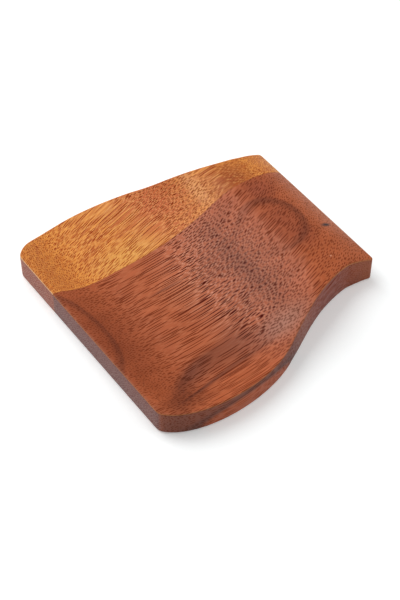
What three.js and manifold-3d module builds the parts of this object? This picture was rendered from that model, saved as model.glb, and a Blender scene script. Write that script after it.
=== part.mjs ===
// Carved wooden spoon rest, in millimetres, +Z up.
// Two acacia staves, glued edge to edge, are sawn to a waisted outline and carved on top:
// a low bowl for the spoon's head, a crest that carries its neck, and a fall to the handle end.
// +X runs from the bowl end to the handle end, and the pale sapwood stave is on the +Y side.
// The origin is at the middle of the flat underside.

import * as THREE from "three";
import { mergeVertices } from "three/addons/utils/BufferGeometryUtils.js";
import Module from "manifold-3d";

// Blank
const LENGTH = 140;
const STOCK = 22.2;
const RIM = 14.2;
const BASE_ROUND = 1.2;

// Outline, as half-widths from the long axis and stations from the bowl end. The waist and
// the crest belong to the handle end, so they are measured back from that end.
const BOWL_END_HALF = 59.3;
const BOWL_CORNER = 2.4;
const SHOULDER_ANGLE = 46.5;
const SHOULDER_REACH = 16.1;
const BULGE_HALF = 72;
const BULGE_AT = 37;
const BULGE_LEAD = 6.2;
const BULGE_TRAIL = 22.3;
const FLANK_HALF = 64.1;
const FLANK_AT = 73.5;
const FLANK_ANGLE = 28.4;
const FLANK_LEAD = 1;
const FLANK_TRAIL = 24;
const NEAR_WAIST_HALF = 43.9;
const FAR_WAIST_HALF = 45;
const WAIST_BACK = 14.5;
const WAIST_LEAD = 3.4;
const HANDLE_END_HALF = 45.9;
const HANDLE_CORNER_EASE = 0.5;

// Carved top: three profiles along the length, from the bowl end to the handle end.
// floor is the low level and where it starts and ends, crestBack is where the stock's full
// thickness is left, and the runs are the lengths over which each bend leaves its level.
const MIDDLE = {
  floor: 6.2, floorFrom: 30.2, floorTo: 44.2, crestBack: 28.5,
  rimRun: 7.2, footRun: 19.8, riseRun: 43.6, headRun: 16.4,
  fallRun: 14.3, endRun: 7.6, endAngle: 36,
};
const NEAR_EDGE = {
  floor: 13.6, floorFrom: 57, floorTo: 58, crestBack: 39,
  rimRun: 38, footRun: 10, riseRun: 20, headRun: 14,
  fallRun: 12, endRun: 12, endAngle: 15,
};
const FAR_EDGE = {
  floor: 7.9, floorFrom: 31.2, floorTo: 31.4, crestBack: 21,
  rimRun: 11.2, footRun: 20.7, riseRun: 56.3, headRun: 42,
  fallRun: 9, endRun: 2, endAngle: 36,
};
const NEAR_WALL = 24;
const WALL_EASE = 0.8;
const OVERCUT_SHARE = 0.2;

// Glue joint between the staves
const JOINT_AT = 28.7;
const GLUE = 0.2;

// Facets
const STEPS_ALONG = 70;
const STEPS_ACROSS = 40;
const CURVE_STEPS = 20;
const CORNER_STEPS = 5;
const ROUND_STEPS = 3;
const PROFILE_STEPS = 60;
const WELD_DISTANCE = 1e-4;

const wasm = await Module();
wasm.setup();

function toSolid(geometry) {
  const plain = geometry.clone();
  plain.deleteAttribute("normal");
  plain.deleteAttribute("uv");
  const merged = mergeVertices(plain, WELD_DISTANCE);
  const mesh = new wasm.Mesh({
    numProp: 3,
    vertProperties: new Float32Array(merged.attributes.position.array),
    triVerts: new Uint32Array(merged.index.array),
  });
  return new wasm.Manifold(mesh);
}

function toGeometry(solid) {
  const mesh = solid.getMesh();
  const geometry = new THREE.BufferGeometry();
  geometry.setAttribute("position", new THREE.BufferAttribute(mesh.vertProperties, 3));
  geometry.setIndex(new THREE.BufferAttribute(mesh.triVerts, 1));
  geometry.computeVertexNormals();
  return geometry;
}

// One long side of the outline, drawn from the bowl end. side is +1 far and -1 near.
function drawSide(side, waistHalf) {
  const shoulder = THREE.MathUtils.degToRad(SHOULDER_ANGLE);
  const slope = Math.tan(THREE.MathUtils.degToRad(FLANK_ANGLE));
  const waistX = LENGTH - WAIST_BACK;
  const along = (reach) => [Math.cos(shoulder) * reach, BOWL_END_HALF + Math.sin(shoulder) * reach];
  const [cornerX, cornerY] = along(BOWL_CORNER);
  const [handleX, handleY] = along(SHOULDER_REACH);
  const path = new THREE.Path();
  path.moveTo(0, side * (BOWL_END_HALF - BOWL_CORNER));
  path.quadraticCurveTo(0, side * BOWL_END_HALF, cornerX, side * cornerY);
  path.bezierCurveTo(
    handleX, side * handleY,
    BULGE_AT - BULGE_LEAD, side * BULGE_HALF,
    BULGE_AT, side * BULGE_HALF,
  );
  path.bezierCurveTo(
    BULGE_AT + BULGE_TRAIL, side * BULGE_HALF,
    FLANK_AT - FLANK_LEAD, side * (FLANK_HALF + slope * FLANK_LEAD),
    FLANK_AT, side * FLANK_HALF,
  );
  path.bezierCurveTo(
    FLANK_AT + FLANK_TRAIL, side * (FLANK_HALF - slope * FLANK_TRAIL),
    waistX - WAIST_LEAD, side * waistHalf,
    waistX, side * waistHalf,
  );
  const flareX = (waistX + LENGTH) / 2;
  const flare = Math.atan2(HANDLE_END_HALF - waistHalf, LENGTH - flareX);
  const round = BASE_ROUND + HANDLE_CORNER_EASE;
  const leg = round * Math.tan((Math.PI / 2 + flare) / 2);
  path.quadraticCurveTo(
    flareX, side * waistHalf,
    LENGTH - leg * Math.cos(flare), side * (HANDLE_END_HALF - leg * Math.sin(flare)),
  );
  const cornerFrom = side * (Math.PI / 2 + flare);
  path.absarc(LENGTH - round, side * (HANDLE_END_HALF - leg), round, cornerFrom, 0, side > 0);
  return path;
}

// A carved profile: rim, bowl, floor, rise to the crest and fall to the far rim.
function drawProfile(section) {
  const endSlope = Math.tan(THREE.MathUtils.degToRad(section.endAngle));
  const crestX = LENGTH - section.crestBack;
  const path = new THREE.Path();
  path.moveTo(0, RIM);
  path.bezierCurveTo(
    section.rimRun, RIM,
    section.floorFrom - section.footRun, section.floor,
    section.floorFrom, section.floor,
  );
  path.lineTo(section.floorTo, section.floor);
  path.bezierCurveTo(
    section.floorTo + section.riseRun, section.floor,
    crestX - section.headRun, STOCK,
    crestX, STOCK,
  );
  path.bezierCurveTo(
    crestX + section.fallRun, STOCK,
    LENGTH - section.endRun, RIM + endSlope * section.endRun,
    LENGTH, RIM,
  );
  return path;
}

// Reads a drawn curve as a height, or a half-width, over its station along the length.
function reader(path) {
  const points = path.getPoints(PROFILE_STEPS);
  return (x) => {
    const last = points.length - 1;
    let i = 1;
    while (i < last && points[i].x < x) i += 1;
    const a = points[i - 1];
    const b = points[i];
    const run = b.x - a.x;
    const t = run > 0 ? THREE.MathUtils.clamp((x - a.x) / run, 0, 1) : 1;
    return a.y + (b.y - a.y) * t;
  };
}

const nearSide = drawSide(-1, NEAR_WAIST_HALF);
const farSide = drawSide(1, FAR_WAIST_HALF);
const nearY = reader(nearSide);
const farY = reader(farSide);
const middleZ = reader(drawProfile(MIDDLE));
const nearZ = reader(drawProfile(NEAR_EDGE));
const farZ = reader(drawProfile(FAR_EDGE));

// Height of the carved top. The middle profile runs unchanged between the foot of the
// near wall and the glue joint, and blends into the edge profiles on both sides of that.
// The blend goes on for a little past the outline, where the tool leaves the wood.
function topZ(x, y) {
  const station = THREE.MathUtils.clamp(x, 0, LENGTH);
  const middle = middleZ(station);
  const inFromNear = (y - nearY(station)) / NEAR_WALL;
  const wall = THREE.MathUtils.clamp(inFromNear, -OVERCUT_SHARE, 1);
  const nearShare = (1 - wall) ** 2 * (1 + WALL_EASE * wall);
  const pastJoint = (y - JOINT_AT) / (farY(station) - JOINT_AT);
  const farShare = THREE.MathUtils.clamp(pastJoint, 0, 1 + OVERCUT_SHARE) ** 2;
  return middle + (nearZ(station) - middle) * nearShare + (farZ(station) - middle) * farShare;
}

// Points along one side. The corners are short, so they take fewer steps than the long bends.
function outlinePoints(side) {
  const points = [];
  const last = side.curves.length - 1;
  side.curves.forEach((curve, index) => {
    const isCorner = index === 0 || index === last;
    const steps = isCorner ? CORNER_STEPS : CURVE_STEPS;
    points.push(...curve.getPoints(steps).slice(index === 0 ? 0 : 1));
  });
  return points;
}

// Sawn blank with its lower edge rounded over, left taller than the finished piece.
function makeBlank() {
  const near = outlinePoints(nearSide);
  const far = outlinePoints(farSide).reverse();
  const geometry = new THREE.ExtrudeGeometry(new THREE.Shape([...near, ...far]), {
    depth: STOCK,
    bevelEnabled: true,
    bevelThickness: BASE_ROUND,
    bevelSize: BASE_ROUND,
    bevelOffset: -BASE_ROUND,
    bevelSegments: ROUND_STEPS,
  });
  geometry.translate(0, 0, BASE_ROUND);
  return toSolid(geometry);
}

// Block of waste above the carved top: its underside is the carved surface.
function makeWaste() {
  const step = LENGTH / STEPS_ALONG;
  const stepAcross = (2 * BULGE_HALF) / STEPS_ACROSS;
  const height = STOCK;
  const geometry = new THREE.BoxGeometry(
    LENGTH + 2 * step, 2 * (BULGE_HALF + stepAcross), height,
    STEPS_ALONG + 2, STEPS_ACROSS + 2, 1,
  );
  geometry.translate(LENGTH / 2, 0, STOCK + height / 2);
  const place = geometry.attributes.position;
  for (let i = 0; i < place.count; i += 1) {
    if (place.getZ(i) < STOCK + height / 2) {
      place.setZ(i, topZ(place.getX(i), place.getY(i)));
    }
  }
  return toSolid(geometry);
}

// Everything between two planes across the width, as a cutting block.
function makeBand(from, to) {
  const geometry = new THREE.BoxGeometry(2 * LENGTH, to - from, 4 * STOCK);
  geometry.translate(LENGTH / 2, (from + to) / 2, STOCK);
  return toSolid(geometry);
}

const carved = makeBlank().subtract(makeWaste());
const bandReach = 2 * BULGE_HALF;
const heartwood = carved.intersect(makeBand(-bandReach, JOINT_AT - GLUE / 2));
const glue = carved.intersect(makeBand(JOINT_AT - GLUE / 2, JOINT_AT + GLUE / 2));
const sapwood = carved.intersect(makeBand(JOINT_AT + GLUE / 2, bandReach));

const oiledHeartwood = new THREE.MeshStandardMaterial({ color: 0x9a5538, roughness: 0.5, metalness: 0 });
const oiledSapwood = new THREE.MeshStandardMaterial({ color: 0xc98445, roughness: 0.5, metalness: 0 });
const curedGlue = new THREE.MeshStandardMaterial({ color: 0x6b3f28, roughness: 0.6, metalness: 0 });

function addPiece(group, name, solid, material) {
  const mesh = new THREE.Mesh(toGeometry(solid), material);
  mesh.name = name;
  group.add(mesh);
}

const spoonRest = new THREE.Group();
spoonRest.name = "spoon_rest";
spoonRest.position.x = -LENGTH / 2;
addPiece(spoonRest, "heartwood_stave", heartwood, oiledHeartwood);
addPiece(spoonRest, "glue_line", glue, curedGlue);
addPiece(spoonRest, "sapwood_stave", sapwood, oiledSapwood);

export default spoonRest;
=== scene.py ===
# %% [markdown]
# # A carved spoon rest
#
# The real object is a low block of wood, 140 mm long, that lies on a worktop and holds one
# spoon. Two boards, a wide red-brown one and a narrow golden one, were glued edge to edge,
# sawn to a waisted outline and carved on top: a bowl for the spoon's head, a crest for its
# neck and a fall to the handle end. The CAD model gives its size and place. This lesson
# builds the same shape with a finer skin, saws it at the glue joint and finishes the wood.

# %% Load the frame
import math
from types import SimpleNamespace

import bmesh
import bpy
import numpy as np
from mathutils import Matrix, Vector


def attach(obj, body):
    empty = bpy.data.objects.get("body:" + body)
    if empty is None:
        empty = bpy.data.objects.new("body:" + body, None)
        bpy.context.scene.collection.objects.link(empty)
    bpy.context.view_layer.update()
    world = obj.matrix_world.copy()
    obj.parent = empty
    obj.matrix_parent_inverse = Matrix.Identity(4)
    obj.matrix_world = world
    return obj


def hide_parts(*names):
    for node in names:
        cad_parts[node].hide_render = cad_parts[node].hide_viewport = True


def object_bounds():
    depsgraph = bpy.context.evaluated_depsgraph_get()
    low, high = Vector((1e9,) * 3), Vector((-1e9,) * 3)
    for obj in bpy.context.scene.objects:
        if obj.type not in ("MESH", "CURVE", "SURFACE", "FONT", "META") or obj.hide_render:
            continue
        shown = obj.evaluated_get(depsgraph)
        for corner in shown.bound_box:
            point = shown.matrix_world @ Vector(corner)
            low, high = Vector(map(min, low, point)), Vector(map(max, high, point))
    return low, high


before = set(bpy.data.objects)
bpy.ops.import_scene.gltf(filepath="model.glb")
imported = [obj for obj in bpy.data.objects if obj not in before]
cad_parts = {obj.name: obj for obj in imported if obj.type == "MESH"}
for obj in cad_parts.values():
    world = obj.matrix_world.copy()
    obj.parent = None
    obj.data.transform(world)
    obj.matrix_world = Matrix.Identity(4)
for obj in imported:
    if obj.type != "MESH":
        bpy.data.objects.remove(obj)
cad_low, cad_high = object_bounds()
print("CAD box in metres:", list(cad_low), list(cad_high))
bpy.ops.object.select_all(action="DESELECT")

# %% [markdown]
# ## The outline
#
# A maker draws the outline on the glued board and saws along it. It could be a curve object,
# but a list of points on Bezier curves is easier to measure from, and the numbers are the
# ones that the CAD model was drawn with. They are in millimetres: x runs from the bowl end,
# and half-widths are measured from the long axis.

# %% Sizes of the outline
MM_PER_M = 1000
LENGTH, STOCK, RIM = 140.0, 22.2, 14.2
BASE_ROUND = 1.2
BOWL_END_HALF, BOWL_CORNER = 59.3, 2.4
SHOULDER_ANGLE, SHOULDER_REACH = math.radians(46.5), 16.1
BULGE_AT, BULGE_HALF, BULGE_LEAD, BULGE_TRAIL = 37, 72, 6.2, 22.3
FLANK_AT, FLANK_HALF, FLANK_LEAD, FLANK_TRAIL = 73.5, 64.1, 1, 24
FLANK_SLOPE = math.tan(math.radians(28.4))
WAIST_AT, WAIST_LEAD = LENGTH - 14.5, 3.4
NEAR_WAIST_HALF, FAR_WAIST_HALF = 43.9, 45.0
HANDLE_END_HALF, HANDLE_CORNER = 45.9, BASE_ROUND + 0.5
print("blank: %.0f mm long, %.1f mm thick" % (LENGTH, STOCK))

# %% Draw both long sides
CURVE_POINTS = 161


def bezier(*points):
    """Points along a Bezier curve with three or four control points."""
    control = np.array(points, float)
    t = np.linspace(0, 1, CURVE_POINTS)[:, None]
    order = len(control) - 1
    return sum(math.comb(order, k) * t ** k * (1 - t) ** (order - k) * control[k]
               for k in range(order + 1))


def long_side(waist_half):
    """One long side, from the bowl end to the handle end, as x and half-width."""
    bowl_end = np.array([0, BOWL_END_HALF])
    shoulder = np.array([math.cos(SHOULDER_ANGLE), math.sin(SHOULDER_ANGLE)])
    corner = bowl_end + BOWL_CORNER * shoulder
    bulge, flank, waist = (BULGE_AT, BULGE_HALF), (FLANK_AT, FLANK_HALF), (WAIST_AT, waist_half)
    flare_at = (WAIST_AT + LENGTH) / 2
    flare = math.atan2(HANDLE_END_HALF - waist_half, LENGTH - flare_at)
    leg = HANDLE_CORNER * math.tan((math.pi / 2 + flare) / 2)
    turn = np.linspace(math.pi / 2 + flare, 0, CURVE_POINTS)
    handle_corner = np.stack([LENGTH - HANDLE_CORNER + HANDLE_CORNER * np.cos(turn),
                              HANDLE_END_HALF - leg + HANDLE_CORNER * np.sin(turn)], 1)
    return np.concatenate([
        bezier((0, BOWL_END_HALF - BOWL_CORNER), bowl_end, corner),
        bezier(corner, bowl_end + SHOULDER_REACH * shoulder,
               (BULGE_AT - BULGE_LEAD, BULGE_HALF), bulge)[1:],
        bezier(bulge, (BULGE_AT + BULGE_TRAIL, BULGE_HALF),
               (FLANK_AT - FLANK_LEAD, FLANK_HALF + FLANK_LEAD * FLANK_SLOPE), flank)[1:],
        bezier(flank, (FLANK_AT + FLANK_TRAIL, FLANK_HALF - FLANK_TRAIL * FLANK_SLOPE),
               (WAIST_AT - WAIST_LEAD, waist_half), waist)[1:],
        bezier(waist, (flare_at, waist_half),
               (LENGTH - leg * math.cos(flare), HANDLE_END_HALF - leg * math.sin(flare)))[1:],
        handle_corner[1:],
    ])


near_side = long_side(NEAR_WAIST_HALF) * (1, -1)
far_side = long_side(FAR_WAIST_HALF)
print("outline: %.1f mm wide at the bulge" % (far_side[:, 1].max() - near_side[:, 1].min()))

# %% [markdown]
# ## The carver's templates
#
# A carver holds thin templates against the wood to see where to stop. Three are enough here:
# one along the middle, one along the wall on the near side and one along the far rim. The
# surface could be sculpted by hand, but a blend of three drawn curves stays smooth and keeps
# to the CAD model.

# %% Three templates along the length
def template(floor, floor_from, floor_to, crest_back, rim_run, foot_run, rise_run, head_run,
             fall_run, end_run, end_angle):
    """One carved profile, as x and height: rim, floor, crest and the fall to the handle end."""
    crest = LENGTH - crest_back
    end_rise = math.tan(math.radians(end_angle)) * end_run
    return np.concatenate([
        bezier((0, RIM), (rim_run, RIM), (floor_from - foot_run, floor), (floor_from, floor)),
        bezier((floor_to, floor), (floor_to + rise_run, floor),
               (crest - head_run, STOCK), (crest, STOCK)),
        bezier((crest, STOCK), (crest + fall_run, STOCK),
               (LENGTH - end_run, RIM + end_rise), (LENGTH, RIM))[1:],
    ])


middle_template = template(
    floor=6.2, floor_from=30.2, floor_to=44.2, crest_back=28.5, rim_run=7.2, foot_run=19.8,
    rise_run=43.6, head_run=16.4, fall_run=14.3, end_run=7.6, end_angle=36)
near_template = template(
    floor=13.6, floor_from=57, floor_to=58, crest_back=39, rim_run=38, foot_run=10,
    rise_run=20, head_run=14, fall_run=12, end_run=12, end_angle=15)
far_template = template(
    floor=7.9, floor_from=31.2, floor_to=31.4, crest_back=21, rim_run=11.2, foot_run=20.7,
    rise_run=56.3, head_run=42, fall_run=9, end_run=2, end_angle=36)
middle_heights = middle_template[:, 1]
print("bowl floor %.1f mm, crest %.1f mm" % (middle_heights.min(), middle_heights.max()))

# %% Height of the carved top
JOINT = 28.7
NEAR_WALL, WALL_EASE = 24, 0.8


def read(curve, x):
    """A curve's width or height at a place along the length."""
    return np.interp(x, curve[:, 0], curve[:, 1])


def carved_height(x, y):
    """The middle template, with the near wall and, past the joint, the far rim added to it."""
    middle = read(middle_template, x)
    wall = np.clip((y - read(near_side, x)) / NEAR_WALL, 0, 1)
    past_joint = np.clip((y - JOINT) / (read(far_side, x) - JOINT), 0, 1)
    near = (read(near_template, x) - middle) * (1 - wall) ** 2 * (1 + WALL_EASE * wall)
    far = (read(far_template, x) - middle) * past_joint ** 2
    return middle + near + far


print("rims at the bulge: near %.1f mm, far %.1f mm"
      % (carved_height(BULGE_AT, -BULGE_HALF), carved_height(BULGE_AT, BULGE_HALF)))

# %% [markdown]
# ## The carved skin
#
# The carved top is one flowing sheet, so it starts from a grid. Each row of the grid is laid
# across the wood, from one long side to the other, and the first and last rows bend round the
# corners. Rows and columns crowd together along the rim, where sandpaper has eased the edge,
# so that this small round gets faces of its own.

# %% Spacing of rows and columns
EDGE_ROUND = 0.7
ROW_COUNT, COLUMN_COUNT = 230, 190
SLOPE_STEP, STEEPEST = 0.2, 2.5
round_steps = EDGE_ROUND * (1 - np.cos(np.radians([0, 18, 36, 54, 72, 90])))
rim_steps = np.concatenate([round_steps, [1.05, 1.5, 2.05, 2.7]])


def spread(total, count, start=1.0, end=1.0):
    """Distances from 0 to total that crowd together at both ends."""
    first, last = rim_steps * start, rim_steps * end
    inner = np.linspace(first[-1], total - last[-1], count)
    return np.concatenate([first[:-1], inner, total - last[-2::-1]])


def along(path, distance):
    """Points at these distances along a path, stretched to the path's own length."""
    steps = np.sqrt((np.diff(path, axis=0) ** 2).sum(1))
    place = np.concatenate([[0], np.cumsum(steps)])
    reach = distance / distance[-1] * place[-1]
    return np.stack([np.interp(reach, place, path[:, k]) for k in (0, 1)], 1)


def slant(side, x):
    """How much a row has to stretch its rim steps where it meets a side at an angle."""
    slope = (read(side, x + SLOPE_STEP) - read(side, x - SLOPE_STEP)) / (2 * SLOPE_STEP)
    return math.hypot(1, min(abs(slope), STEEPEST))


row_at = spread(LENGTH, ROW_COUNT)
print("rows: %d, at the rim %.2f mm apart" % (len(row_at), np.diff(row_at).min()))

# %% Lay the rows across the wood
END_PULL = 6
bowl_turn, handle_turn = CURVE_POINTS // 2, len(near_side) - CURVE_POINTS // 2
end_paths = (
    np.concatenate([near_side[bowl_turn::-1], far_side[:bowl_turn + 1]]),
    np.concatenate([near_side[handle_turn:], far_side[:handle_turn - 1:-1]]),
)
first_x, last_x = near_side[bowl_turn, 0], near_side[handle_turn, 0]
rows = []
for place in row_at:
    x = first_x + (last_x - first_x) * place / LENGTH
    near, far = read(near_side, x), read(far_side, x)
    across = spread(far - near, COLUMN_COUNT, slant(near_side, x), slant(far_side, x))
    row = np.stack([np.full(len(across), x), near + across], 1)
    for end_path, gap in zip(end_paths, (place, LENGTH - place)):
        pull = max(0.0, 1 - gap / END_PULL) ** 2
        straight = np.linspace(end_path[0], end_path[-1], 2)
        row = row + pull * (along(end_path, across) - along(straight, across))
    rows.append(row)
rows = np.array(rows)
print(rows.shape[0], "rows of", rows.shape[1], "points")

# %% [markdown]
# ## Heights and the eased rim
#
# Every point of the grid takes its height from the templates. Near the outline it also drops
# along a quarter round, as an edge does under sandpaper. A Bevel modifier could round the rim
# too, but here the rim's distance is known for every point, so the round comes out even all
# the way.

# %% Heights of the skin
RIM_BAND = 9
LEAST_RUN = 1e-12
outline = np.concatenate([near_side, far_side[::-1]])


def edge_distance(points):
    """How far each point lies inside the outline, seen from above."""
    run = np.roll(outline, -1, 0) - outline
    square = np.maximum((run ** 2).sum(1), LEAST_RUN)
    nearest = []
    for point in points:
        gap = point - outline
        share = np.clip((gap * run).sum(1) / square, 0, 1)
        nearest.append(np.sqrt(((gap - share[:, None] * run) ** 2).sum(1)).min())
    return np.array(nearest)


spots = rows.reshape(-1, 2)
height = carved_height(spots[:, 0], spots[:, 1])
in_band = np.ones(rows.shape[:2], bool)
in_band[RIM_BAND:-RIM_BAND, RIM_BAND:-RIM_BAND] = False
rim_spots = np.flatnonzero(in_band)
inward = np.clip(edge_distance(spots[rim_spots]), 0, EDGE_ROUND)
height[rim_spots] -= EDGE_ROUND - np.sqrt(EDGE_ROUND ** 2 - (EDGE_ROUND - inward) ** 2)
height = np.minimum(height, STOCK)
print("skin from %.2f to %.2f mm high" % (height.min(), height.max()))
skin = np.column_stack([spots[:, 0] - LENGTH / 2, spots[:, 1], height]) / MM_PER_M
skin[:, 2] = np.minimum(skin[:, 2], cad_high.z)

# %% [markdown]
# ## The solid block
#
# A grid primitive with the same number of points is laid on those places. Its open border is
# then extruded down to the table, closed with one face and rounded over with a bevel, as the
# lower edge of the real block is. The sawn sides stand upright. Only by the waist, on the
# near side, the foot lies up to 1.8 mm further in than the rim above it, so the wall leans.

# %% Lay a grid on the skin
GRID_SIZE = 2
row_total, column_total = rows.shape[:2]
bpy.ops.mesh.primitive_grid_add(x_subdivisions=column_total - 1, y_subdivisions=row_total - 1,
                                size=GRID_SIZE)
block = bpy.context.object
block.name = "carved_block"
grid = np.empty(len(block.data.vertices) * 3)
block.data.vertices.foreach_get("co", grid)
share = (grid.reshape(-1, 3) + GRID_SIZE / 2) / GRID_SIZE
column = np.rint(share[:, 0] * (column_total - 1)).astype(int)
line = np.rint(share[:, 1] * (row_total - 1)).astype(int)
block.data.vertices.foreach_set("co", skin[line * column_total + column].reshape(-1))
block.data.update()
print("skin:", len(block.data.polygons), "faces")

# %% Extrude the sides and close the underside
FOOT_LEAN, LEAN_AT, LEAN_REACH = 1.8, 36, 27
bpy.ops.object.mode_set(mode="EDIT")
bpy.ops.mesh.select_mode(type="EDGE")
bpy.ops.mesh.select_all(action="SELECT")
bpy.ops.mesh.region_to_loop()
bpy.ops.mesh.extrude_region_move(TRANSFORM_OT_translate={"value": (0, 0, -1 / MM_PER_M)})
cage = bmesh.from_edit_mesh(block.data)
foot = [vertex for vertex in cage.verts if vertex.select]
for vertex in foot:
    vertex.co.z = 0
    lean = max(0.0, 1 - ((vertex.co.x * MM_PER_M - LEAN_AT) / LEAN_REACH) ** 2) ** 2
    vertex.co.y += lean * FOOT_LEAN / MM_PER_M if vertex.co.y < 0 else 0
print("foot:", len(foot), "points on the table")
bmesh.update_edit_mesh(block.data)
bpy.ops.mesh.edge_face_add()

# %% Round over the lower edge
ON_TABLE = 1e-6
ROUND_SEGMENTS = 4
bpy.ops.mesh.select_all(action="DESELECT")
cage = bmesh.from_edit_mesh(block.data)
for edge in cage.edges:
    edge.select = all(vertex.co.z < ON_TABLE for vertex in edge.verts)
bmesh.update_edit_mesh(block.data)
bpy.ops.mesh.bevel(offset=BASE_ROUND / MM_PER_M, offset_type="OFFSET", segments=ROUND_SEGMENTS,
                   affect="EDGES", clamp_overlap=False)
bpy.ops.mesh.select_all(action="SELECT")
bpy.ops.mesh.normals_make_consistent(inside=False)
bpy.ops.object.mode_set(mode="OBJECT")
print("block:", len(block.data.polygons), "faces")

# %% [markdown]
# ## Three pieces
#
# The real block was glued before it was carved, so one surface runs over both boards and the
# glue film between them. Three separate models would have to meet in exactly that surface.
# The block is therefore copied three times and each copy is sawn with bisect, which also
# closes the cut.

# %% Saw the block at the glue joint
GLUE = 0.2
CUT_TOLERANCE = 1e-7
SMOOTH_ANGLE = math.radians(35)


def saw(name, node, low_cut, high_cut):
    """A copy of the block between two planes across the width, given in millimetres."""
    bpy.ops.object.select_all(action="DESELECT")
    block.select_set(True)
    bpy.context.view_layer.objects.active = block
    bpy.ops.object.duplicate()
    piece = bpy.context.object
    piece.name = name
    bpy.ops.object.mode_set(mode="EDIT")
    for cut, keep_low in ((low_cut, False), (high_cut, True)):
        if cut is not None:
            bpy.ops.mesh.select_all(action="SELECT")
            bpy.ops.mesh.bisect(plane_co=(0, cut / MM_PER_M, 0), plane_no=(0, 1, 0), use_fill=True,
                                clear_outer=keep_low, clear_inner=not keep_low,
                                threshold=CUT_TOLERANCE)
    bpy.ops.object.mode_set(mode="OBJECT")
    bpy.ops.object.shade_smooth_by_angle(angle=SMOOTH_ANGLE)
    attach(piece, "root")
    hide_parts(node)
    print(name, len(piece.data.polygons), "faces")
    return piece


heart_board = saw("heart_board", "heartwood_stave", None, JOINT - GLUE / 2)
glue_film = saw("glue_film", "glue_line", JOINT - GLUE / 2, JOINT + GLUE / 2)
sap_board = saw("sap_board", "sapwood_stave", JOINT + GLUE / 2, None)
bpy.data.objects.remove(block)

# %% [markdown]
# ## Wood that is solid all through
#
# Acacia is a coarse hardwood. Its vessels are tubes that run along the board: on a level face
# they show as long dark lines, on a slope as short dashes and on the end as dots. A flat
# picture can't do that, but a pattern in space does it by itself, because the carved surface
# cuts through it as the tool cut through the tubes. All patterns below read the place in the
# block, in millimetres. First come the few helpers that every finish uses.

# %% Colours and nodes
FACTOR, UNDER, OVER, MIXED = 0, 6, 7, 2    # the sockets of a Mix node that takes colours


def hex_colour(text):
    """An sRGB hex value as the linear colour that shaders use."""
    values = [int(text[k:k + 2], 16) / 255 for k in (1, 3, 5)]
    return [v / 12.92 if v <= 0.04045 else ((v + 0.055) / 1.055) ** 2.4 for v in values] + [1.0]


def add_node(tree, kind, sockets=None, out=0, **settings):
    """Adds a node, sets its options, gives sockets a value or a link, and returns an output."""
    node = tree.nodes.new(kind)
    for name, value in settings.items():
        setattr(node, name, value)
    for name, value in (sockets or {}).items():
        if isinstance(value, bpy.types.NodeSocket):
            tree.links.new(value, node.inputs[name])
        else:
            node.inputs[name].default_value = value
    return node.outputs[out] if len(node.outputs) else node


print("mid grey in linear light: %.3f" % hex_colour("#808080")[0])

# %% Soft marks in the wood
def ellipse(tree, vector, centre, radii):
    """Distance from a centre, as a share of the radii. A radius of None is endless."""
    scale = [0 if radius is None else 1 / radius for radius in radii]
    offset = add_node(tree, "ShaderNodeVectorMath", {0: vector, 1: centre}, operation="SUBTRACT")
    offset = add_node(tree, "ShaderNodeVectorMath", {0: offset, 1: scale}, operation="MULTIPLY")
    return add_node(tree, "ShaderNodeVectorMath", {0: offset}, out="Value", operation="LENGTH")


def band(tree, value, at, inner, outer, strength):
    """A soft line where a value passes a level, with its own reach on both sides."""
    rise = add_node(tree, "ShaderNodeMapRange", {
        "Value": value, "From Min": at - inner, "From Max": at, "To Max": strength},
        interpolation_type="SMOOTHSTEP")
    fall = add_node(tree, "ShaderNodeMapRange", {
        "Value": value, "From Min": at, "From Max": at + outer, "To Min": 1.0, "To Max": 0.0},
        interpolation_type="SMOOTHSTEP")
    return add_node(tree, "ShaderNodeMath", {0: rise, 1: fall}, operation="MULTIPLY")


def patch(tree, colour, vector, centre, radii, strength, other):
    """Lays a soft patch of another colour over a colour, strongest at its centre."""
    share = add_node(tree, "ShaderNodeMapRange", {
        "Value": ellipse(tree, vector, centre, radii), "From Min": 1.0, "From Max": 0.0,
        "To Max": strength}, interpolation_type="SMOOTHSTEP")
    return add_node(tree, "ShaderNodeMix", {FACTOR: share, UNDER: colour, OVER: hex_colour(other)},
                    out=MIXED, data_type="RGBA")


print("soft marks:", [mark.__name__ for mark in (ellipse, band, patch)])

# %% Ends and rim, by the way a face looks
END_GRAIN_FROM, END_GRAIN_FULL, END_GRAIN_SHARE = 0.8, 0.97, 0.85
RIM_TILT = 0.62


def faces(tree):
    """Shares of end grain, which looks along the length and takes a painted grey reflection, and
    of the rim, which sanding pales and which gets a painted highlight.
    """
    facing = add_node(tree, "ShaderNodeNewGeometry", out="Normal")
    facing_x = add_node(tree, "ShaderNodeSeparateXYZ", {0: facing}, out="X")
    facing_x = add_node(tree, "ShaderNodeMath", {0: facing_x}, operation="ABSOLUTE")
    end_grain_and_reflection = add_node(tree, "ShaderNodeMapRange", {
        "Value": facing_x, "From Min": END_GRAIN_FROM, "From Max": END_GRAIN_FULL,
        "To Max": END_GRAIN_SHARE})
    facing_z = add_node(tree, "ShaderNodeSeparateXYZ", {0: facing}, out="Z")
    rim_wear_and_highlight = band(tree, facing_z, at=RIM_TILT, inner=0.3, outer=0.25, strength=0.9)
    return SimpleNamespace(facing=facing, end_grain_and_reflection=end_grain_and_reflection, rim_wear_and_highlight=rim_wear_and_highlight)


# The pale rim is sanding wear with a painted highlight along the eased edge.
print("the rim wears where faces tilt by about %.0f degrees" % math.degrees(math.acos(RIM_TILT)))

# %% [markdown]
# ## Grain, vessels and fibres
#
# Fibres follow the living trunk, so a board's grain sways, dips and turns aside near a branch.
# Here the place in the block is bent by as much before any pattern reads it. The vessels are
# cells of a flat Voronoi pattern that stands across the bent grain, so each cell is a tube. A
# stretched noise would be simpler, but its streaks fade out where the real tubes have a rim.
# Real vessels are about 0.2 mm wide, too fine to show, so they are drawn about 0.6 mm wide
# and 1 mm apart. Each has a pale sheath of soft cells round it. The fibres are drawn 0.4 mm
# wide for the same reason.

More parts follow.
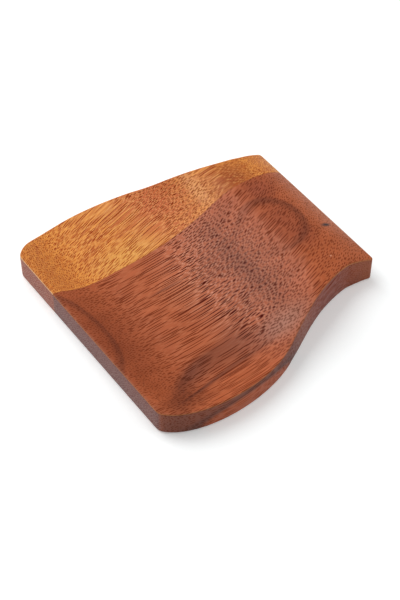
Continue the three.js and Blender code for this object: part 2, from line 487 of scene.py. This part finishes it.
# %% Which way the grain runs
SWAY_SIZE = (45, 20, 20)
SWAY_REACH = (0, 3, 2)
NOISE_MIDDLE = (0.5, 0.5, 0.5)


def start_wood(name, plank, dip, bend_from, bend_to, bend_by):
    """A new material with a board's grain: the place, the swaying layers and the bent grain."""
    material = bpy.data.materials.new(name)
    material.use_nodes = True
    tree = material.node_tree
    tree.nodes.clear()
    position = add_node(tree, "ShaderNodeTexCoord", out="Object")
    place = add_node(tree, "ShaderNodeMapping", {"Vector": position, "Scale": [MM_PER_M] * 3})
    drift = add_node(tree, "ShaderNodeMapping", {
        "Vector": place, "Location": plank, "Scale": [1 / size for size in SWAY_SIZE]})
    sway = add_node(tree, "ShaderNodeTexNoise", {"Vector": drift, "Scale": 1.0, "Detail": 1.0},
                    out="Color")
    sway = add_node(tree, "ShaderNodeVectorMath", {0: sway, 1: NOISE_MIDDLE}, operation="SUBTRACT")
    layers = add_node(tree, "ShaderNodeVectorMath", {0: sway, 1: SWAY_REACH, 2: place},
                      operation="MULTIPLY_ADD")
    x_mm = add_node(tree, "ShaderNodeSeparateXYZ", {0: place}, out="X")
    turn = add_node(tree, "ShaderNodeMapRange", {
        "Value": x_mm, "From Min": bend_from, "From Max": bend_to})
    turn = add_node(tree, "ShaderNodeMath", {0: turn, 1: turn}, operation="MULTIPLY")
    grain = add_node(tree, "ShaderNodeVectorMath", {0: turn, 1: bend_by, 2: layers},
                     operation="MULTIPLY_ADD")
    grain = add_node(tree, "ShaderNodeMapping", {
        "Vector": grain, "Rotation": (0, math.radians(dip), 0)})
    print(name, "grain dips by", dip, "degrees")
    return SimpleNamespace(material=material, tree=tree, plank=plank, place=place, x_mm=x_mm,
                           layers=layers, grain=grain)


# %% Vessels and fibres
SECTION_TURN = math.radians(45)
VESSEL_SCATTER = 0.64
VESSEL_RUN, VESSEL_PINCH, VESSEL_EDGE = (16, 2, 2), 0.09, 0.04
NOISE_LOW, NOISE_HIGH = 0.3, 0.7
FIBRE_SIZE = (10, 0.4, 0.4)
SHEATH = {"at": -0.09, "inner": 0.12, "outer": 0.06, "strength": 0.55}


def streaks(wood, size, detail):
    """A noise drawn out along the grain, with its size in millimetres."""
    drawn = add_node(wood.tree, "ShaderNodeMapping", {
        "Vector": wood.grain, "Scale": [1 / length for length in size]})
    return add_node(wood.tree, "ShaderNodeTexNoise", {
        "Vector": drawn, "Scale": 1.0, "Detail": detail}, out="Fac")


def add_vessels(wood, spacing, widest):
    """Adds the depth inside vessels, the share of open vessel and the fibres to a wood."""
    tree, grain = wood.tree, wood.grain
    across = add_node(tree, "ShaderNodeSeparateXYZ", {0: grain}, out="Y")
    upward = add_node(tree, "ShaderNodeSeparateXYZ", {0: grain}, out="Z")
    section = add_node(tree, "ShaderNodeCombineXYZ", {"X": across, "Y": upward})
    section = add_node(tree, "ShaderNodeMapping", {
        "Vector": section, "Location": wood.plank, "Rotation": (0, 0, SECTION_TURN),
        "Scale": (1 / spacing[0], 1 / spacing[1], 1)})
    gap = add_node(tree, "ShaderNodeTexVoronoi", {
        "Vector": section, "Scale": 1.0, "Randomness": VESSEL_SCATTER},
        out="Distance", voronoi_dimensions="2D")
    width = add_node(tree, "ShaderNodeMapRange", {
        "Value": streaks(wood, VESSEL_RUN, detail=0.0), "From Min": NOISE_LOW,
        "From Max": NOISE_HIGH, "To Min": widest - VESSEL_PINCH, "To Max": widest})
    wood.depth = add_node(tree, "ShaderNodeMath", {0: width, 1: gap}, operation="SUBTRACT")
    wood.pores = add_node(tree, "ShaderNodeMapRange", {
        "Value": wood.depth, "From Min": -VESSEL_EDGE, "From Max": VESSEL_EDGE},
        interpolation_type="SMOOTHSTEP")
    wood.fibres = streaks(wood, FIBRE_SIZE, detail=2.0)
    print("vessels", spacing[0], "by", spacing[1], "mm apart")


# %% [markdown]
# ## The oiled surface
#
# Kitchen wood is sanded fine and rubbed with oil, which soaks in and leaves a satin face with
# a broad, soft sheen. The cut vessels stay open as tiny grooves without shine. A lacquer
# would need a clear coat on top, but oil needs none, so one shader with a bump is enough.

# %% Satin oil over open grooves
FIBRE_RELIEF = 0.3
GROOVE_STRENGTH, GROOVE_DEPTH = 0.5, 0.12
SATIN, MATT = 0.43, 1.0
OIL_IOR, OIL_SPECULAR = 1.45, 0.30


def finish_wood(wood, colour, piece):
    """Joins a colour to an oiled, satin surface and puts the finished material on its piece."""
    tree = wood.tree
    relief = add_node(tree, "ShaderNodeMath", {0: wood.fibres, 1: FIBRE_RELIEF},
                      operation="MULTIPLY")
    relief = add_node(tree, "ShaderNodeMath", {0: relief, 1: wood.pores}, operation="SUBTRACT")
    bump = add_node(tree, "ShaderNodeBump", {
        "Height": relief, "Strength": GROOVE_STRENGTH, "Distance": GROOVE_DEPTH / MM_PER_M})
    rough = add_node(tree, "ShaderNodeMapRange", {
        "Value": wood.pores, "To Min": SATIN, "To Max": MATT})
    shader = add_node(tree, "ShaderNodeBsdfPrincipled", {
        "Base Color": colour, "Roughness": rough, "Normal": bump, "IOR": OIL_IOR,
        "Specular IOR Level": OIL_SPECULAR})
    add_node(tree, "ShaderNodeOutputMaterial", {"Surface": shader})
    piece.data.materials.clear()
    piece.data.materials.append(wood.material)
    print(piece.name, "wears", wood.material.name, "with", len(tree.nodes), "nodes")


# %% [markdown]
# ## The red-brown board
#
# Oiled acacia heartwood: a warm red-brown with streaks of its own tone, dark vessels and pale
# sheaths, which gives the eye a coarse, lively ground. Its growth layers are shells about an
# axis that lies above the board, so the carving cuts them as arches in the bowl, a ring over
# the crest and a domed layer on the near side. Rings about an axis could draw all of them at
# once, but then none would lie where it does on the real piece, so each is placed by itself.

# %% Oiled acacia heartwood: ground
HEART_STREAK, HEART_TONES, FIBRE_SHARE = (35, 6, 6), (0.56, 1.04), 0.6
wood = start_wood("oiled_acacia_heartwood", plank=(0, 0, 0), dip=3,
                  bend_from=20, bend_to=70, bend_by=(0, -20, -5))
add_vessels(wood, spacing=(0.95, 1.06), widest=0.325)
tree = wood.tree
tone = add_node(tree, "ShaderNodeMath", {
    0: wood.fibres, 1: FIBRE_SHARE, 2: streaks(wood, HEART_STREAK, detail=2.0)},
    operation="MULTIPLY_ADD")
tone = add_node(tree, "ShaderNodeMapRange", {
    "Value": tone, "From Min": HEART_TONES[0], "From Max": HEART_TONES[1]})
colour = add_node(tree, "ShaderNodeMix", {
    FACTOR: tone, UNDER: hex_colour("#A04C25"), OVER: hex_colour("#BA5F36")},
    out=MIXED, data_type="RGBA")
# Sheaths: real pale cells round the vessels, drawn paler over the bowl and the rise as a painted
# sheen
sheath_and_sheen = patch(tree, hex_colour("#C07048"), wood.place, (8, -8, 0), (36, 64, None), 1.4, "#EEB090")
colour = add_node(tree, "ShaderNodeMix", {
    FACTOR: band(tree, wood.depth, **SHEATH), UNDER: colour, OVER: sheath_and_sheen},
    out=MIXED, data_type="RGBA")

# %% Darker and paler places
for centre, radii, strength, other in (
        ((14, -10, 0), (24, 70, None), 0.28, "#642E1C"),     # foot of the rise
        ((16, -10, 0), (7, 50, None), 0.28, "#642E1C"),
        ((-15, 0, 0), (17, 18, None), 0.30, "#CC7C54"),      # pale middle of the bowl
        ((46, -2, 0), (17, 30, None), 0.36, "#6E302A"),      # dusky crest
        ((49, 21, 0), (16, 13, None), 0.45, "#6E302A"),
        ((47, -18, 0), (14, 12, None), 0.22, "#6E302A"),
        ((-20, 5, 0), (15, 1.0, None), 0.65, "#642E1C"),     # short streak in the bowl
        ((-22, -48, 0), (48, 14, None), 0.42, "#6A3220"),    # slope of the near wall
        ((-10, -38, 0), (15, 10, None), 0.30, "#6A3220"),
        ((-54, -60, 0), (24, 13, None), 0.6, "#6A3018"),     # near shoulder
        ((70, 0, 0), (18, 90, None), 0.28, "#C8805C"),       # paler handle end
        # painted shade: the slope at the bowl end faces away from the light, so it is drawn darker
        ((-62, -8, 0), (31, 62, None), 0.57, "#74301A")):    # darker bowl end
    colour = patch(tree, colour, wood.layers, centre, radii, strength, other)
print("ground:", len(tree.nodes), "nodes so far")

# %% Growth layers that the carving cuts
z_mm = add_node(tree, "ShaderNodeSeparateXYZ", {0: wood.place}, out="Z")
crest_ring = ellipse(tree, wood.layers, (38.5, -2.5, 0), (17, 18, None))
crest_ring = band(tree, crest_ring, at=1.0, inner=0.32, outer=0.16, strength=0.58)
crest_side = add_node(tree, "ShaderNodeMapRange", {
    "Value": wood.x_mm, "From Min": 26, "From Max": 42, "To Min": 0.1})
crest_top = add_node(tree, "ShaderNodeMapRange", {"Value": z_mm, "From Min": 15, "From Max": 18})
bowl_arc = ellipse(tree, wood.layers, (-75, -2, 0), (14.5, 30, None))
bowl_arc = band(tree, bowl_arc, at=1.0, inner=0.26, outer=0.12, strength=0.55)
wide_arch = ellipse(tree, wood.layers, (-22, -80, 0), (48, 41.5, None))
wide_arch = band(tree, wide_arch, at=0.96, inner=0.24, outer=0.12, strength=0.68)
thin_arch = ellipse(tree, wood.layers, (-12, -80, 0), (66, 27.7, None))
thin_arch = band(tree, thin_arch, at=1.0, inner=0.08, outer=0.06, strength=0.75)
arch = add_node(tree, "ShaderNodeMath", {0: wide_arch, 1: thin_arch}, operation="MAXIMUM")
arch_start = add_node(tree, "ShaderNodeMapRange", {
    "Value": wood.x_mm, "From Min": -67, "From Max": -50})
arch_fade = add_node(tree, "ShaderNodeMapRange", {
    "Value": wood.x_mm, "From Min": -42, "From Max": 8, "To Min": 1.0, "To Max": 0.1})
for share, limits, other in ((crest_ring, (crest_side, crest_top), "#642E1C"),
                             (bowl_arc, (), "#642E1C"),
                             (arch, (arch_fade, arch_start), "#5A2818")):
    for limit in limits:
        share = add_node(tree, "ShaderNodeMath", {0: share, 1: limit}, operation="MULTIPLY")
    colour = add_node(tree, "ShaderNodeMix", {
        FACTOR: share, UNDER: colour, OVER: hex_colour(other)}, out=MIXED, data_type="RGBA")
print("figure:", len(tree.nodes), "nodes so far")

# %% [markdown]
# ## The near side and the end grain
#
# The upright side cuts the same layers from another direction: a domed, orange layer low down
# by the bowl, with a dark line over it, and duller wood above and towards the waist. The two
# ends cut the vessels across and soak up more oil; their greyish tint is a painted reflection
# of the pale room. A material for each face would do, but the layers run on from face to face,
# so one material serves all of them and takes the share of each from the way a face looks.

# %% Layers on the near side
NEAR_FROM, NEAR_FULL = -0.45, -0.7
side = faces(tree)
facing_y = add_node(tree, "ShaderNodeSeparateXYZ", {0: side.facing}, out="Y")
near_face = add_node(tree, "ShaderNodeMapRange", {
    "Value": facing_y, "From Min": NEAR_FROM, "From Max": NEAR_FULL})
dome = ellipse(tree, wood.layers, (-25, 0, 0), (28.5, None, 10.4))
grey_place = ellipse(tree, wood.place, (0, 0, 6), (24, None, 18))
waist_place = ellipse(tree, wood.place, (33, 0, 9), (34, None, 40))
for value, start, end, at_start, at_end, other in (
        (wood.x_mm, -10, 25, 0.5, 0.25, "#663C34"),       # upper layer
        (grey_place, 1.0, 0.4, 0.0, 0.6, "#6C3C34"),      # grey below the rise
        (waist_place, 1.0, 0.4, 0.0, 0.55, "#80281A"),    # red by the waist
        (dome, 1.10, 0.80, 0.0, 0.74, "#CA6438")):        # orange dome
    share = add_node(tree, "ShaderNodeMapRange", {
        "Value": value, "From Min": start, "From Max": end, "To Min": at_start, "To Max": at_end})
    share = add_node(tree, "ShaderNodeMath", {0: share, 1: near_face}, operation="MULTIPLY")
    colour = add_node(tree, "ShaderNodeMix", {
        FACTOR: share, UNDER: colour, OVER: hex_colour(other)}, out=MIXED, data_type="RGBA")
layer_line = band(tree, dome, at=1.06, inner=0.16, outer=0.30, strength=0.5)
layer_line = add_node(tree, "ShaderNodeMath", {0: layer_line, 1: near_face}, operation="MULTIPLY")
# end grain: oil-darkened, with a greyish painted reflection of the pale room on the ends
for share, other in ((layer_line, "#4A2822"), (side.end_grain_and_reflection, "#865C58")):
    colour = add_node(tree, "ShaderNodeMix", {
        FACTOR: share, UNDER: colour, OVER: hex_colour(other)}, out=MIXED, data_type="RGBA")
print("sides:", len(tree.nodes), "nodes so far")

# %% [markdown]
# ## Gum, wear and small marks
#
# Gum and oil stand in the open vessels and stain them. They are drawn darkest in the bowl and
# on the rise, as painted shade where the sheen lights the wood between them, and hardly seen at
# both ends and on the near side. Dark tubes of one colour would be simpler, but gum stains the
# wood it lies in, so its colour multiplies the ground. Last come the rim that sandpaper rubbed
# pale, with a painted highlight along it, a painted sheen on the near wall, one small knot by the
# handle end and one pale fleck.

# %% Painted sheen, open vessels with painted shade, worn rim with painted highlight, knot and fleck
# painted sheen: a pale, cool patch where the shoulder of the near wall catches the light
colour = patch(tree, colour, wood.place, (10, -51, 0), (18, 14, None), 0.6, "#B4826E")
# Vessel colour: gum stain, darkest on the rise and in the bowl and palest at the ends and on the
# near side, which is painted shade in the vessels where the sheen lights the wood round them
gum_and_vessel_shade = patch(tree, hex_colour("#BAA69E"), wood.layers, (8, -6, 0), (41, 92, None), 1.4, "#762E26")
for centre, radii, strength, other in (
        ((-68, -15, 0), (36, 90, None), 1.3, "#DAD2CE"),     # bowl end
        ((68, 0, 0), (24, 90, None), 1.0, "#C4BAB6")):       # handle end
    gum_and_vessel_shade = patch(tree, gum_and_vessel_shade, wood.place, centre, radii, strength, other)
gum_and_vessel_shade = add_node(tree, "ShaderNodeMix", {
    FACTOR: near_face, UNDER: gum_and_vessel_shade, OVER: hex_colour("#E6DCD8")}, out=MIXED, data_type="RGBA")
colour = add_node(tree, "ShaderNodeMix", {FACTOR: wood.pores, UNDER: colour, OVER: gum_and_vessel_shade},
                  out=MIXED, data_type="RGBA", blend_type="MULTIPLY")
# pale rim: sanding wear and a painted highlight
colour = add_node(tree, "ShaderNodeMix", {
    FACTOR: side.rim_wear_and_highlight, UNDER: colour, OVER: hex_colour("#C4814E")},
    out=MIXED, data_type="RGBA")
for centre, radii, strength, other in (
        ((62.2, -16.6, 16), (4.6, 2.2, 8), 1.5, "#42302E"),    # knot
        ((50, -35.5, 19), (0.9, 0.7, 4), 1.2, "#E0B090")):     # fleck
    colour = patch(tree, colour, wood.place, centre, radii, strength, other)
finish_wood(wood, colour, heart_board)

# %% [markdown]
# ## The golden board
#
# Oiled acacia sapwood, the young wood under the bark: a clear gold that the oil turns orange
# on the rise, with finer streaks and finer vessels than heartwood, so it looks smoother and
# brighter. It could share the other material with new colours, but it is another board, with
# its own grain, which lies about 15 degrees off the length over the bowl.

# %% Oiled acacia sapwood
SAP_STREAK, SAP_TONES = (32, 1.7, 1.7), (0.75, 1.25)
wood = start_wood("oiled_acacia_sapwood", plank=(31, 17, 7), dip=8,
                  bend_from=12, bend_to=-70, bend_by=(0, 26.9, 0))
add_vessels(wood, spacing=(0.85, 0.95), widest=0.30)
tree = wood.tree
tone = add_node(tree, "ShaderNodeMath", {
    0: streaks(wood, SAP_STREAK, detail=2.0), 1: wood.fibres}, operation="ADD")
tone = add_node(tree, "ShaderNodeMapRange", {
    "Value": tone, "From Min": SAP_TONES[0], "From Max": SAP_TONES[1]})
colour = add_node(tree, "ShaderNodeMix", {
    FACTOR: tone, UNDER: hex_colour("#B8581A"), OVER: hex_colour("#EA9A44")},
    out=MIXED, data_type="RGBA")
for centre, radii, strength, other in (
        ((-24, 34, 0), (30, 15, None), 0.70, "#E4A44E"),     # pale gold by the joint
        # browner wood with painted shade: the slope at the bowl end faces away from the light
        ((-66, 46, 0), (26, 34, None), 0.45, "#B4601C"),     # browner bowl end
        ((8, 54, 0), (26, 46, None), 0.90, "#BE520E"),       # orange rise
        ((42, 34, 0), (20, 22, None), 0.95, "#9C441A"),      # red-brown crest
        # painted sheen: the pale streak where the rise catches the light
        ((25.5, 42, 0), (6, 22, None), 0.22, "#F2C88C")):    # pale streak on the rise
    colour = patch(tree, colour, wood.layers, centre, radii, strength, other)

# %% The sapwood's sheaths, end grain with painted reflection, vessels with painted shade, and worn rim with painted highlight
side = faces(tree)
sheath = band(tree, wood.depth, **SHEATH)
# end grain: oil-darkened, with a greyish painted reflection of the pale room on the ends
for share, other in ((sheath, "#F2B468"), (side.end_grain_and_reflection, "#A46358")):
    colour = add_node(tree, "ShaderNodeMix", {
        FACTOR: share, UNDER: colour, OVER: hex_colour(other)}, out=MIXED, data_type="RGBA")
# Vessel colour: gum stain, darker on the rise, which is painted shade in the vessels where the
# sheen lights the wood round them
gum_and_vessel_shade = patch(tree, hex_colour("#C68872"), wood.layers, (8, 45, 0), (36, 60, None), 1.2, "#AC7666")
colour = add_node(tree, "ShaderNodeMix", {FACTOR: wood.pores, UNDER: colour, OVER: gum_and_vessel_shade},
                  out=MIXED, data_type="RGBA", blend_type="MULTIPLY")
# pale rim: sanding wear and a painted highlight
colour = add_node(tree, "ShaderNodeMix", {
    FACTOR: side.rim_wear_and_highlight, UNDER: colour, OVER: hex_colour("#F4D8A8")},
    out=MIXED, data_type="RGBA")
finish_wood(wood, colour, sap_board)

# %% [markdown]
# ## The glue film
#
# Cured wood glue, 0.2 mm thin and sanded with the boards: a dull brown line that the eye takes
# for the sharp edge between the two colours. It could be one plain colour, but sanding drags
# fibres and oil across it, so it carries the heartwood's grain in its own two browns.

# %% Cured wood glue
wood = start_wood("cured_wood_glue", plank=(5, 9, 2), dip=3,
                  bend_from=20, bend_to=70, bend_by=(0, -20, -5))
add_vessels(wood, spacing=(0.95, 1.06), widest=0.325)
colour = add_node(wood.tree, "ShaderNodeMix", {
    FACTOR: wood.fibres, UNDER: hex_colour("#8A4A24"), OVER: hex_colour("#A45C2E")},
    out=MIXED, data_type="RGBA")
finish_wood(wood, colour, glue_film)

# %% [markdown]
# ## The set
#
# The piece lies on white paper. A large soft light stands behind it, draws the sheen on the
# rising slope and throws a short, soft shadow towards the viewer. A weak one on the right and
# a pale room fill that shadow. More light would also whiten the paper, but it would bleach
# the wood, so the paper glows a little for the camera instead, and for mirror images.

# %% White paper
FLOOR_SIZE = 6
PAPER_GLOW = 0.24
WHITE = (1, 1, 1, 1)
bpy.ops.object.select_all(action="DESELECT")
bpy.ops.mesh.primitive_plane_add(size=FLOOR_SIZE)
floor = bpy.context.object
floor.name = "white_sweep"
paper = bpy.data.materials.new("white_paper")
paper.use_nodes = True
tree = paper.node_tree
tree.nodes.clear()
seen = add_node(tree, "ShaderNodeLightPath", out="Is Camera Ray")
for kind in ("Is Glossy Ray", "Is Transmission Ray"):
    other_ray = add_node(tree, "ShaderNodeLightPath", out=kind)
    seen = add_node(tree, "ShaderNodeMath", {0: seen, 1: other_ray}, operation="MAXIMUM")
lift = add_node(tree, "ShaderNodeMath", {0: seen, 1: PAPER_GLOW}, operation="MULTIPLY")
glow = add_node(tree, "ShaderNodeEmission", {"Color": WHITE, "Strength": lift})
matt = add_node(tree, "ShaderNodeBsdfDiffuse", {"Color": hex_colour("#F8FBFB")})
sheet = add_node(tree, "ShaderNodeAddShader", {0: matt, 1: glow})
add_node(tree, "ShaderNodeOutputMaterial", {"Surface": sheet})
floor.data.materials.append(paper)
print(floor.name, "is", FLOOR_SIZE, "m wide")

# %% Room and lamps
ROOM_LIGHT = 0.31
LAMP_TARGET = (0, 0, 0.01)
scene = bpy.context.scene
scene.view_settings.view_transform = "Standard"
scene.world = bpy.data.worlds.new("soft_room")
scene.world.use_nodes = True
room = scene.world.node_tree.nodes["Background"]
room.inputs["Color"].default_value = WHITE
room.inputs["Strength"].default_value = ROOM_LIGHT


def aim(thing, place, target):
    """Puts a lamp or the camera somewhere and turns it towards a point."""
    thing.location = place
    thing.rotation_euler = (Vector(target) - Vector(place)).to_track_quat("-Z", "Y").to_euler()


for name, width, height, watts, place in (
        ("softbox_behind", 0.80, 1.00, 9.1, (-0.20, 0.59, 0.85)),
        ("softbox_right", 0.7, 0.7, 2.0, (0.55, -0.35, 0.80))):
    bpy.ops.object.light_add(type="AREA")
    lamp = bpy.context.object
    lamp.name = name
    lamp.data.shape = "RECTANGLE"
    lamp.data.size = width
    lamp.data.size_y = height
    lamp.data.energy = watts
    aim(lamp, place, LAMP_TARGET)
    print(name, watts, "W")

# %% [markdown]
# ## The camera
#
# The photograph's own viewpoint: found from the two straight ends, which are parallel, and
# from the upright side wall. It could be set by eye, but then neither the outline nor the
# figure of the wood could be laid over the photograph to compare them.

# %% Camera
LENS, SENSOR_WIDTH = 89.64, 36.0
CAMERA_AT = (-0.2897, -0.3906, 0.5617)
CAMERA_TARGET = (-0.008039, -0.006937, 0.0007)
bpy.ops.object.camera_add()
camera = bpy.context.object
camera.data.lens = LENS
camera.data.sensor_width = SENSOR_WIDTH
aim(camera, CAMERA_AT, CAMERA_TARGET)
scene.camera = camera
print("camera %.2f m from the piece" % Vector(CAMERA_AT).length)
